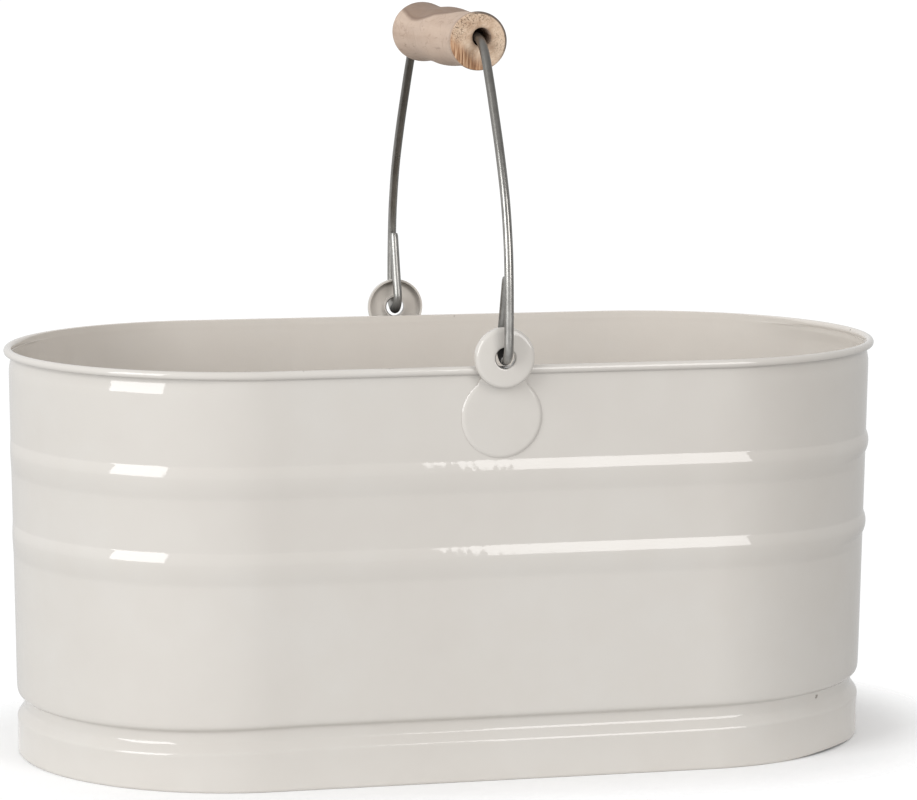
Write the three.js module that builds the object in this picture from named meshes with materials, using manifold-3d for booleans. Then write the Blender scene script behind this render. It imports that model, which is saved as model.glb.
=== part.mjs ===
// Oval painted-steel carrying tub with a wire bail and a turned wooden grip.
// Millimetres, +Z up. Origin: centre of the foot, on the surface it stands on.
// +X runs along the long axis, -Y is the front, where one of the two bail lugs sits.

import * as THREE from 'three';
import { mergeVertices } from 'three/addons/utils/BufferGeometryUtils.js';
import Module from 'manifold-3d';

// ---------------------------------------------------------------- dimensions
// Plan: a stadium, two straight sides joined by half-round ends.
const HALF_STRAIGHT = 90;        // half of a straight side
const END_R = 90;                // end radius at the middle of the rim roll
const PLAN_SEGMENTS = 44;        // facets around both ends together
const SHEET = 0.6;               // body sheet

// Rim: the sheet is rolled outwards over a wire.
const RIM_Z = 164.7;             // middle of the roll
const RIM_ROLL_R = 1.7;          // outside radius of the roll
const RIM_WIRE_R = 0.8;          // wire in the roll, 0.3 mm clear of it

// Wall: a slight taper, with two raised beads that run all the way round.
const WALL_TOP_INSET = 0.2;      // outer face of the wall, in from the roll's middle
const WALL_TAPER = 0.0166;       // inset gained per mm going down
const BEAD_Z = [90, 124];
const BEAD_HALF = 4.6;
const BEAD_FLAT_HALF = 1.4;
const BEAD_PROUD = 1.05;

// Foot: a pressed-in groove that carries the pan, and a skirt with a hemmed edge.
const GROOVE = [                 // inset, z going up the outside: skirt's edge, slope, flat, the wall's lip
  [2.62, 15.6], [3.05, 17], [4.5, 19.5], [5.2, 21.4], [5.2, 24], [4.9, 25.1], [3.5, 26.7], [2.75, 28.5],
];
const HEM_H = 8.0;
const HEM_INSET = 5.3;           // inner face of the folded hem

// Pan (the floor): a flat plate that sits in the taper on the ridge that the groove makes inside.
const PAN_FLOOR_Z = 28.4;        // top of the floor
const PAN_SHEET = 0.7;
const PAN_INSET = 4.02;          // edge of the plate

// Lugs: figure-of-eight pressings. The lower disc lies on the wall, the upper disc
// is dished outwards to clear the rim and has a flanged hole for the bail.
const LUG_SHEET = 0.8;
const LUG_DISC_R = 16.3;
const LUG_DISC_Z = 146.1;
const LUG_NECK_HALF = 9.35;
const LUG_NECK_Z = 161.3;
const LUG_CUP_R = 12.0;
const LUG_CUP_Z = 169.9;         // middle of the hole
const LUG_FACE_Y = 95.7;         // outer face of the cup, from the long centre plane
const LUG_EDGE_Y = 92.4;         // edge of the cup's turned-in flange
const LUG_HOLE_R = 3.95;
const LUG_COLLAR_R = 4.65;
const LUG_COLLAR_Y = 92.6;
const LUG_GAP = 0.3;             // disc to wall
const HANDLE_X = 0.9;            // lugs and handle sit a little right of the tub's middle

// Bail: one bent wire. It hooks through each lug and turns up again inside the tub.
const WIRE_R = 2.0;              // over the corners of its eight facets, 1.85 over the flats
const HINGE_Z = 168.7;           // wire axis in the lug holes
const HOOK_Y = 93.8;             // middle of the hook's bend
const HOOK_R = 6.0;
const HOOK_TIP = [95.8, 201.5];  // y, z
const LEG = [                    // y, z up one leg to the middle of the grip
  [99.8, 182], [99.8, 190], [99.3, 201], [98.2, 211.5], [96.7, 218.5], [95.0, 225],
  [92.6, 232], [89.7, 238.5], [86.4, 245], [82.6, 252], [78.7, 258.5], [74.7, 265],
  [70.7, 271.5], [66.4, 278], [63.0, 282.9], [59.9, 286.6], [56.8, 289.3], [53.2, 291.3],
  [49.5, 292.3], [44, 292.8], [30, 293.0], [15, 293.15],
];
const LEG_TOP_Z = 293.2;
const BAIL_STEPS = 128;

// Grip: turned wood, free to spin on the wire. The bore sits a little above its middle.
const GRIP_Z = 291.1;
const GRIP_HALF = 50;
const GRIP_BORE_R = 3.5;
const GRIP_BORE_Z = 292.6;
const GRIP_PROFILE = [           // radius, y from the front end to the slightly fuller rear end
  [11.0, -50], [11.75, -49.4], [11.8, -48.5], [11.57, -47], [11.25, -43], [11.02, -38],
  [10.94, -32], [11.03, -25], [11.42, -17], [11.87, -8.5], [11.96, 0], [11.55, 8.5],
  [11.31, 17], [11.36, 25], [11.66, 32], [12.09, 38], [12.4, 43], [12.35, 46.5],
  [12.0, 48.8], [11.2, 50],
];

// ---------------------------------------------------------------- helpers
const wasm = await Module();
wasm.setup();

function volume(geometry) {
  const p = geometry.attributes.position, ix = geometry.index;
  const a = new THREE.Vector3(), b = new THREE.Vector3(), c = new THREE.Vector3();
  let v = 0;
  for (let i = 0; i < ix.count; i += 3) {
    a.fromBufferAttribute(p, ix.getX(i));
    b.fromBufferAttribute(p, ix.getX(i + 1));
    c.fromBufferAttribute(p, ix.getX(i + 2));
    v += a.dot(b.cross(c)) / 6;
  }
  return v;
}

// One shared vertex per point, no zero-size triangles, faces pointing out.
function solid(geometry) {
  let g = geometry.clone();
  g.deleteAttribute('normal');
  g.deleteAttribute('uv');
  g = mergeVertices(g, 1e-4);
  const ix = g.index.array, keep = [];
  for (let i = 0; i < ix.length; i += 3) {
    const [a, b, c] = [ix[i], ix[i + 1], ix[i + 2]];
    if (a !== b && b !== c && c !== a) keep.push(a, b, c);
  }
  g.setIndex(keep);
  if (volume(g) < 0) {
    for (let i = 0; i < keep.length; i += 3) [keep[i + 1], keep[i + 2]] = [keep[i + 2], keep[i + 1]];
    g.setIndex(keep);
  }
  return g;
}

function toManifold(geometry) {
  const g = solid(geometry);
  return new wasm.Manifold(new wasm.Mesh({
    numProp: 3,
    vertProperties: new Float32Array(g.attributes.position.array),
    triVerts: new Uint32Array(g.index.array),
  }));
}

function fromManifold(m) {
  const mesh = m.getMesh();
  const g = new THREE.BufferGeometry();
  g.setAttribute('position', new THREE.BufferAttribute(new Float32Array(mesh.vertProperties), 3));
  g.setIndex(Array.from(mesh.triVerts));
  return g;
}

// A ring or dish that follows the stadium plan: a lathe about Z whose two halves are
// moved apart along X, so the facets that straddle the Y axis become the straight sides.
// The profile holds [inset, z]; inset is measured in from the middle of the rim roll.
function stadium(profile) {
  const grow = 1 / Math.cos(Math.PI / PLAN_SEGMENTS);
  const pts = profile.map(([inset, z]) => new THREE.Vector2(Math.max(0, (END_R - inset) * grow), z));
  const g = new THREE.LatheGeometry(pts, PLAN_SEGMENTS, Math.PI / PLAN_SEGMENTS);
  g.rotateX(Math.PI / 2);
  const p = g.attributes.position;
  for (let i = 0; i < p.count; i++) {
    const x = p.getX(i);
    if (Math.abs(x) > 1e-6) p.setX(i, x + Math.sign(x) * HALF_STRAIGHT);
  }
  return solid(g);
}

const wall = (z) => WALL_TOP_INSET + (RIM_Z - z) * WALL_TAPER;
const roll = (r, deg) => {
  const t = THREE.MathUtils.degToRad(deg);
  return [r * Math.cos(t), RIM_Z + r * Math.sin(t)];
};

// ---------------------------------------------------------------- tub wall
function wallProfile() {
  const out = [
    [3.7, 0], [3.15, 0.8], [2.9, 3], [2.7, 12], ...GROOVE, [wall(31.5), 31.5],
  ];
  for (const z of BEAD_Z) {
    out.push([wall(z - BEAD_HALF), z - BEAD_HALF], [wall(z) - BEAD_PROUD, z - BEAD_FLAT_HALF],
      [wall(z) - BEAD_PROUD, z + BEAD_FLAT_HALF], [wall(z + BEAD_HALF), z + BEAD_HALF]);
  }
  out.push([wall(162.4), 162.4]);
  // the roll: up its inside, round to the free edge, and back over its outside
  const ri = RIM_ROLL_R - SHEET, wi = wall(162.4);
  const a0 = -THREE.MathUtils.radToDeg(Math.acos(wi / ri));
  const a1 = -THREE.MathUtils.radToDeg(Math.acos((wi + SHEET) / RIM_ROLL_R));
  for (const a of [a0, -40, 0, 45, 90, 135, 180, 225, 250]) out.push(roll(ri, a));
  for (const a of [250, 220, 180, 150, 120, 90, 60, 30, 0, -30, a1]) out.push(roll(RIM_ROLL_R, a));
  // down the inside
  const t = SHEET;
  for (const z of [...BEAD_Z].reverse()) {
    out.push([wall(z + BEAD_HALF) + t, z + BEAD_HALF], [wall(z) - BEAD_PROUD + t, z + BEAD_FLAT_HALF],
      [wall(z) - BEAD_PROUD + t, z - BEAD_FLAT_HALF], [wall(z - BEAD_HALF) + t, z - BEAD_HALF]);
  }
  out.push([wall(31.5) + t, 31.5], ...[...GROOVE].reverse().map(([i, z]) => [i + t, z]),
    [2.7 + t, 12], [2.8 + t, HEM_H + 0.3], [HEM_INSET - 0.3, HEM_H], [HEM_INSET, HEM_H - 0.6],
    [HEM_INSET, 0.5], [HEM_INSET - 0.3, 0], [3.7, 0]);
  return out;
}

// ---------------------------------------------------------------- pan and rim wire
function panProfile() {
  const b = PAN_FLOOR_Z - PAN_SHEET;
  return [[END_R, PAN_FLOOR_Z], [PAN_INSET, PAN_FLOOR_Z], [PAN_INSET, b], [END_R, b]];
}

function rimWireProfile() {
  const out = [];
  for (let i = 0; i <= 8; i++) out.push(roll(RIM_WIRE_R, i * 45));
  return out;
}

// ---------------------------------------------------------------- lugs (front one, at -Y)
function lug() {
  const F = -LUG_FACE_Y, E = -LUG_EDGE_Y, C = -LUG_COLLAR_Y, t = LUG_SHEET;
  const cupProfile = [
    [LUG_HOLE_R, F + 0.5], [LUG_HOLE_R + 0.35, F], [8.8, F], [10.6, F + 0.45], [11.6, F + 1.4],
    [LUG_CUP_R, F + 2.6], [LUG_CUP_R, E], [LUG_CUP_R - t, E], [LUG_CUP_R - t - 0.1, F + 2.7],
    [10.7, F + 1.75], [8.7, F + t], [LUG_COLLAR_R + 0.35, F + t], [LUG_COLLAR_R, F + t + 0.35],
    [LUG_COLLAR_R, C], [LUG_HOLE_R, C], [LUG_HOLE_R, F + 0.5],
  ].map(([r, y]) => new THREE.Vector2(r, y));
  const cup = toManifold(new THREE.LatheGeometry(cupProfile, 24).translate(0, 0, LUG_CUP_Z));

  // lower part of the cup's flange, carried on to the disc under the rim
  const y0 = E - 0.3, y1 = -90.35;
  const ringProfile = [[LUG_CUP_R, y0], [LUG_CUP_R, y1], [LUG_CUP_R - t, y1], [LUG_CUP_R - t, y0], [LUG_CUP_R, y0]]
    .map(([r, y]) => new THREE.Vector2(r, y));
  const below = toManifold(new THREE.BoxGeometry(60, 60, 40).translate(0, -90, LUG_NECK_Z - 20));
  const ring = toManifold(new THREE.LatheGeometry(ringProfile, 24).translate(0, 0, LUG_CUP_Z)).intersect(below);

  // disc and neck, leaning with the wall
  const s = new THREE.Shape();
  const d0 = LUG_DISC_Z - LUG_NECK_Z;
  s.moveTo(LUG_NECK_HALF, 0);
  s.lineTo(-LUG_NECK_HALF, 0);
  s.quadraticCurveTo(-LUG_NECK_HALF - 0.2, -1.5, -10.48, d0 + 12.49);
  s.absarc(0, d0, LUG_DISC_R, Math.PI * 130 / 180, Math.PI * 410 / 180, false);
  s.quadraticCurveTo(LUG_NECK_HALF + 0.2, -1.5, LUG_NECK_HALF, 0);
  const plateGeometry = new THREE.ExtrudeGeometry(s, { depth: t, bevelEnabled: false, curveSegments: 14 })
    .rotateX(Math.PI / 2)                      // upright, thickness towards -Y
    .rotateX(Math.atan(WALL_TAPER))            // foot of the disc leans in with the wall
    .translate(0, -(END_R - wall(LUG_NECK_Z) + LUG_GAP), LUG_NECK_Z);
  const bore = toManifold(new THREE.CylinderGeometry(LUG_CUP_R - 0.5 * t, LUG_CUP_R - 0.5 * t, 30, 24)
    .translate(0, -90, LUG_CUP_Z));
  const plate = toManifold(plateGeometry).subtract(bore);
  return fromManifold(cup.add(ring).add(plate));
}

// ---------------------------------------------------------------- bail
function bailPath() {
  const half = [];                              // from the hook's tip to just short of the middle
  const hookBase = [HOOK_Y - HOOK_R, HINGE_Z + HOOK_R];
  for (const k of [0, 0.34, 0.67]) {
    half.push([HOOK_TIP[0] + (hookBase[0] - HOOK_TIP[0]) * k * 0.97, HOOK_TIP[1] + (hookBase[1] - HOOK_TIP[1]) * k]);
  }
  for (let a = 180; a <= 360; a += 22.5) {
    const t = THREE.MathUtils.degToRad(a);
    half.push([HOOK_Y + HOOK_R * Math.cos(t), HINGE_Z + HOOK_R + HOOK_R * Math.sin(t)]);
  }
  half.push(...LEG);
  const front = half.map(([y, z]) => new THREE.Vector3(0, -y, z));
  const back = half.map(([y, z]) => new THREE.Vector3(0, y, z)).reverse();
  return new THREE.CatmullRomCurve3([...front, new THREE.Vector3(0, 0, LEG_TOP_Z), ...back], false, 'centripetal');
}

function bail() {
  const s = new THREE.Shape();
  for (let i = 0; i < 8; i++) {
    const t = (i + 0.5) * Math.PI / 4;
    const x = WIRE_R * Math.cos(t), y = WIRE_R * Math.sin(t);
    if (i === 0) s.moveTo(x, y); else s.lineTo(x, y);
  }
  return solid(new THREE.ExtrudeGeometry(s, { steps: BAIL_STEPS, bevelEnabled: false, extrudePath: bailPath() }));
}

// ---------------------------------------------------------------- grip
function grip() {
  const profile = [[0, -GRIP_HALF], ...GRIP_PROFILE, [0, GRIP_HALF]].map(([r, y]) => new THREE.Vector2(r, y));
  const body = toManifold(new THREE.LatheGeometry(profile, 28).translate(0, 0, GRIP_Z));
  const bore = toManifold(new THREE.CylinderGeometry(GRIP_BORE_R, GRIP_BORE_R, 3 * GRIP_HALF, 20)
    .translate(0, 0, GRIP_BORE_Z));
  return fromManifold(body.subtract(bore));
}

// ---------------------------------------------------------------- assembly
const paint = new THREE.MeshStandardMaterial({ color: 0xdcd8d1, roughness: 0.16, metalness: 0.0 });
const steel = new THREE.MeshStandardMaterial({ color: 0x86847f, roughness: 0.38, metalness: 1.0 });
const wood = new THREE.MeshStandardMaterial({ color: 0xd0b08a, roughness: 0.62, metalness: 0.0 });

function piece(name, geometry, material) {
  const g = geometry.clone();
  g.computeVertexNormals();
  const mesh = new THREE.Mesh(g, material.clone());
  mesh.name = name;
  return mesh;
}

const tub = new THREE.Group();
tub.add(piece('tub_wall', stadium(wallProfile()), paint));
tub.add(piece('base_pan', stadium(panProfile()), paint));
tub.add(piece('rim_wire', stadium(rimWireProfile()), steel));
const lugGeometry = lug();
const frontLug = piece('front_lug', lugGeometry, paint);
frontLug.position.x = HANDLE_X;
tub.add(frontLug);
const rearLug = piece('rear_lug', lugGeometry, paint);
rearLug.rotation.z = Math.PI;
rearLug.position.x = HANDLE_X;
tub.add(rearLug);

const handle = new THREE.Group();
handle.position.x = HANDLE_X;
handle.add(piece('bail_wire', bail(), steel));
handle.add(piece('wooden_grip', grip(), wood));

const carryingTub = new THREE.Group();
carryingTub.add(tub, handle);
export default carryingTub;
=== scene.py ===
import math

import bmesh
import bpy
import numpy as np
from mathutils import Matrix, Vector, geometry, noise


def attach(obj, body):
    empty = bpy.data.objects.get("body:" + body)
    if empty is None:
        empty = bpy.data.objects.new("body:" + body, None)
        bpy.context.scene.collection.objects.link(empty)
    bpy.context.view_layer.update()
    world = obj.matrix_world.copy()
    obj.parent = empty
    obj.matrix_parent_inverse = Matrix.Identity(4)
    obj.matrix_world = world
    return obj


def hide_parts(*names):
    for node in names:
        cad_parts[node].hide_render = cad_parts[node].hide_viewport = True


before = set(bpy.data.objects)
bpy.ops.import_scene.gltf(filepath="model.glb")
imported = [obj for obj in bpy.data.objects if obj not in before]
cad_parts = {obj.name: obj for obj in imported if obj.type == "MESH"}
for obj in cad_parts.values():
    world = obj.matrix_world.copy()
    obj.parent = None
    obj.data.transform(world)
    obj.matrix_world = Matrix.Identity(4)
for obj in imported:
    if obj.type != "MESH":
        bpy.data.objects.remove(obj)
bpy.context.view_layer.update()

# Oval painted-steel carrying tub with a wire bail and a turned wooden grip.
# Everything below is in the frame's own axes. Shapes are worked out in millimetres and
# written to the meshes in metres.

MM = 0.001


# ------------------------------------------------------------------ small helpers
def smooth(a, b, x):
    t = min(1.0, max(0.0, (x - a) / (b - a)))
    return t * t * (3 - 2 * t)


def smooth_max(a, k):
    """max(a, 0) with its corner rounded over about k."""
    return 0.5 * (a + math.sqrt(a * a + k * k))


def catmull(points, per_span):
    """Centripetal Catmull-Rom through all the points."""
    p = [np.array(q, float) for q in points]
    p = [2 * p[0] - p[1]] + p + [2 * p[-1] - p[-2]]
    out = []
    for i in range(1, len(p) - 2):
        a, b, c, d = p[i - 1], p[i], p[i + 1], p[i + 2]
        t0 = 0.0
        t1 = t0 + max(1e-6, np.linalg.norm(b - a)) ** 0.5
        t2 = t1 + max(1e-6, np.linalg.norm(c - b)) ** 0.5
        t3 = t2 + max(1e-6, np.linalg.norm(d - c)) ** 0.5
        for k in range(per_span):
            t = t1 + (t2 - t1) * k / per_span
            a1 = (t1 - t) / (t1 - t0) * a + (t - t0) / (t1 - t0) * b
            a2 = (t2 - t) / (t2 - t1) * b + (t - t1) / (t2 - t1) * c
            a3 = (t3 - t) / (t3 - t2) * c + (t - t2) / (t3 - t2) * d
            b1 = (t2 - t) / (t2 - t0) * a1 + (t - t0) / (t2 - t0) * a2
            b2 = (t3 - t) / (t3 - t1) * a2 + (t - t1) / (t3 - t1) * a3
            out.append((t2 - t) / (t2 - t1) * b1 + (t - t1) / (t2 - t1) * b2)
    out.append(p[-2])
    return out


def new_object(name, mesh):
    o = bpy.data.objects.new(name, mesh)
    bpy.context.scene.collection.objects.link(o)
    return o


def make_mesh(name, verts, faces, sharp_deg=38.0, merge=None):
    """A smooth-shaded mesh from millimetre points, faces turned outwards."""
    me = bpy.data.meshes.new(name)
    me.from_pydata([tuple(float(c) * MM for c in v) for v in verts], [], [tuple(f) for f in faces])
    bm = bmesh.new()
    bm.from_mesh(me)
    if merge:
        bmesh.ops.remove_doubles(bm, verts=bm.verts, dist=merge * MM)
        bmesh.ops.dissolve_degenerate(bm, dist=merge * 0.2 * MM, edges=bm.edges)
    bmesh.ops.recalc_face_normals(bm, faces=bm.faces)
    if bm.calc_volume(signed=True) < 0:
        bmesh.ops.reverse_faces(bm, faces=bm.faces)
    bm.to_mesh(me)
    bm.free()
    me.shade_smooth()
    me.set_sharp_from_angle(angle=math.radians(sharp_deg))
    return new_object(name, me)


def apply_modifiers(o):
    dg = bpy.context.evaluated_depsgraph_get()
    me = bpy.data.meshes.new_from_object(o.evaluated_get(dg))
    o.modifiers.clear()
    old = o.data
    o.data = me
    bpy.data.meshes.remove(old)


# ------------------------------------------------------------------ tub: plan and profile
END_X = 90.0        # centres of the half-round ends
END_R = 90.0        # end radius at the middle of the rim roll
N_END = 84
N_SIDE = 56
SHEET = 0.6
RIM_Z = 164.7
ROLL_R = 1.68


def stations():
    """(centre x, outward direction, how far into an end) round the plan, anticlockwise from the front left."""
    out = []
    for i in range(N_SIDE):
        out.append((-END_X + 2 * END_X * i / N_SIDE, 0.0, -1.0))
    for i in range(N_END):
        a = math.radians(-90 + 180 * i / N_END)
        out.append((END_X, math.cos(a), math.sin(a)))
    for i in range(N_SIDE):
        out.append((END_X - 2 * END_X * i / N_SIDE, 0.0, 1.0))
    for i in range(N_END):
        a = math.radians(90 + 180 * i / N_END)
        out.append((-END_X, math.cos(a), math.sin(a)))
    return out


STATIONS = stations()


def wall(z):
    return 0.2 + (RIM_Z - z) * 0.0166


BEADS = (90.35, 124.35)
BEAD_W = 4.7        # half width above the crest
BEAD_LOW = 8.2      # and below it
BEAD_H = 1.10


def bead(z):
    h = 0.0
    for c in BEADS:
        if z > c:
            h += smooth_max(BEAD_H * (1 - ((z - c) / BEAD_W) ** 1.7), 0.05)
        else:
            h += smooth_max(BEAD_H * (1 - ((c - z) / BEAD_LOW) ** 1.75), 0.24) * smooth_max(BEAD_H, 0.05) / smooth_max(BEAD_H, 0.24)
    return h


def tight_bead(z):
    """The same bead round the right end, where it stayed narrower."""
    return sum(smooth_max(BEAD_H * (1 - (abs(z - c) / 4.3) ** 2.0), 0.08) for c in BEADS)


def bead_shift(x, z):
    """The beads run down a little round the right end."""
    w = smooth(78.0, 84.0, z) * (1 - smooth(131.0, 140.0, z))
    return -0.9 * w * smooth(95.0, 160.0, x)


def bead_fade(nx, ny):
    """How much of the beads is lost: they run out flat at the rearmost part of the left end."""
    a = math.degrees(math.atan2(ny, nx)) % 360.0
    return 0.92 * smooth(188.0, 168.0, a) * smooth(128.0, 146.0, a)


def roll(r, deg):
    t = math.radians(deg)
    return (r * math.cos(t), RIM_Z + r * math.sin(t))


def wall_profile():
    """Closed loop of (inset, z): up the outside, round the rolled rim, down the inside, round the hem."""
    foot = catmull([
        (2.70, 1.1), (2.69, 3.0), (2.70, 6.0), (2.73, 10.0), (2.70, 13.0), (2.645, 14.8), (2.63, 15.55), (2.665, 16.08),
        (2.80, 16.53), (3.07, 16.98), (3.49, 17.55), (4.08, 18.38), (4.67, 19.21), (5.06, 19.78), (5.29, 20.2), (5.43, 20.65),
        (5.50, 21.3), (5.53, 22.2), (5.53, 23.0), (5.47, 23.8), (5.30, 24.45), (4.98, 24.92), (4.52, 25.28), (4.0, 25.62),
    ], 4)
    neck = catmull([
        (4.0, 25.62), (3.48, 26.02), (3.05, 26.52), (2.78, 27.15), (2.62, 27.95), (2.53, 29.0), (2.47, 30.3), (2.425, 31.8),
        (wall(34), 34.0), (wall(38), 38.0), (wall(40), 40.0),
    ], 4)
    outer = [tuple(p) for p in foot[:-1]] + [tuple(p) for p in neck]
    zs = []
    z = 41.0
    while z < 162.5:
        near = min(abs(z - c) for c in BEADS)
        zs.append(z)
        z += 0.35 if near < BEAD_LOW + 2.0 else (1.0 if near < 10 or z > 155 else 2.5)
    outer += [(wall(z) - bead(z), z) for z in zs]
    loop = list(outer)
    ri = ROLL_R - SHEET
    for a in range(-70, 263, 9):
        loop.append(roll(ri, a))
    loop.append(roll(ri + 0.12, 264.5))
    loop.append(roll(ROLL_R - 0.12, 264.5))
    for a in range(262, -56, -6):
        loop.append(roll(ROLL_R, a))
    # inside: the same sheet, one thickness further in
    for i, z in reversed(outer):
        if z < 9.0:
            break
        loop.append((i + SHEET, z))
    loop += [(3.33, 8.8), (3.33, 8.2), (3.34, 7.0), (3.40, 6.7), (3.47, 7.0), (3.49, 7.7), (3.59, 7.97), (3.77, 8.06),
             (3.95, 8.0), (4.07, 7.8), (4.10, 7.2), (4.12, 4.0), (4.12, 1.3), (4.07, 0.75), (3.90, 0.35), (3.65, 0.09),
             (3.43, 0.0), (3.18, 0.06), (2.94, 0.28), (2.77, 0.62)]
    return loop


def waver(x, y, z, amount=1.0):
    """Slow unevenness of the rolled sheet, in mm, positive inwards."""
    p = Vector((x, y, z))
    w = 0.055 * noise.noise(p / 46.0) + 0.030 * noise.noise(p / 21.0 + Vector((7, 3, 1)))
    return amount * w


def end_share(nx):
    """0 on the straight sides, 1 well round the ends."""
    return smooth(0.10, 0.45, abs(nx))


def foot_shift(x, z):
    """The pressed groove runs a little low round the left end and a little high round the right one."""
    w = smooth(4.0, 15.0, z) * (1 - smooth(33.0, 56.0, z))
    return w * (-1.6 * smooth(70.0, 150.0, -x) + 0.6 * smooth(60.0, 150.0, x))


def foot_lift(nx, ny, z):
    """The hem stands a hair off the floor at the front of the right end."""
    if z > 5.0 or nx <= 0.0:
        return 0.0
    a = math.degrees(math.atan2(ny, nx))
    return 0.75 * smooth(-68.0, -50.0, a) * smooth(-30.0, -44.0, a) * (1 - smooth(1.0, 5.0, z))


def build_wall():
    prof = wall_profile()
    m, n = len(prof), len(STATIONS)
    skin = set(roll(ROLL_R, a) for a in range(262, -56, -6))
    verts, faces = [], []
    for cx, nx, ny in STATIONS:
        e = end_share(nx) * (1 - smooth(0.30, 0.75, ny))
        for inset, z in prof:
            d = 0.0
            if 2.0 < z < 163.0:
                r0 = END_R - wall(z)
                w = smooth(1.0, 8.0, z) * (1 - smooth(159.0, 163.0, z))
                d += waver(cx + nx * r0, ny * r0, z) * w
            for c in BEADS:
                if abs(z - c) < BEAD_LOW + 3.0:
                    d += bead_fade(nx, ny) * bead(z)
                    d += smooth(0.62, 0.92, nx) * (bead(z) - tight_bead(z))
            if 150.0 < z < 163.6:
                # the wall draws in a little under the roll on the ends
                d += 0.95 * e * smooth(155.4, 163.0, z) ** 1.3 * (1 - smooth(162.9, 163.6, z) * 0.6)
            if z > 162.9 and inset > 0.0:
                # inside, the sheet goes straight up before it curls outwards
                inset = min(inset, wall(z) + 0.95 * e + (SHEET + 0.08 if (inset, z) in skin else 0.06))
            r = END_R - inset - d
            x = cx + nx * r
            verts.append((x, ny * r, z + foot_shift(x, z) + bead_shift(x, z) + foot_lift(nx, ny, z)))
    for s in range(n):
        t = (s + 1) % n
        for j in range(m):
            k = (j + 1) % m
            faces.append((s * m + j, t * m + j, t * m + k, s * m + k))
    return make_mesh("tub_wall_sheet", verts, faces, 50.0)


def build_pan():
    """Floor plate with a paint fillet where it meets the wall, slightly oil-canned."""
    top, bottom = 28.4, 27.7
    rings = [(2.85, top + 0.95), (3.12, top + 0.62), (3.34, top + 0.34), (3.66, top + 0.12), (4.2, top), (5.5, top), (8, top),
             (12, top), (18, top), (26, top), (36, top), (48, top), (60, top), (72, top), (82, top), (90, top)]
    under = [(90, bottom), (82, bottom), (72, bottom), (60, bottom), (48, bottom), (36, bottom), (26, bottom), (18, bottom),
             (12, bottom), (8, bottom), (5.5, bottom), (4.3, bottom), (3.6, bottom), (3.1, bottom + 0.05)]
    prof = rings + under
    m, n = len(prof), len(STATIONS)
    verts, faces = [], []
    for cx, nx, ny in STATIONS:
        for inset, z in prof:
            r = END_R - inset
            x, y = cx + nx * r, ny * r
            d = 0.0
            if inset > 5:
                p = Vector((x, y, 0.0))
                d = smooth(5, 30, inset) * (0.22 * noise.noise(p / 95.0) + 0.06 * noise.noise(p / 33.0))
            verts.append((x, y, z + d))
    for s in range(n):
        t = (s + 1) % n
        for j in range(m):
            if j == len(rings) - 1:
                continue                     # top and underside each close on the middle line
            k = (j + 1) % m
            faces.append((s * m + j, t * m + j, t * m + k, s * m + k))
    return make_mesh("base_pan_plate", verts, faces, 50.0, merge=0.02)


# ------------------------------------------------------------------ lugs
CUP_Z = 169.9
CUP_R = 12.0
FACE_Y = 95.7
HOLE_R = 3.95
CUP_EDGE = 1.55
EDGE_R = 2.3        # rounding of the disc's edge, and how far in it reaches
EDGE_IN = 1.6
LUG_T = 0.8
HANDLE_X = 0.9      # lugs and handle sit a little right of the tub's middle
DISC_Z = 146.1
DISC_R = 16.3


def plate_y(z):
    """Outer face of the lug's disc, which lies on the leaning wall."""
    return END_R - wall(z) + 0.04 + LUG_T


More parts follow.
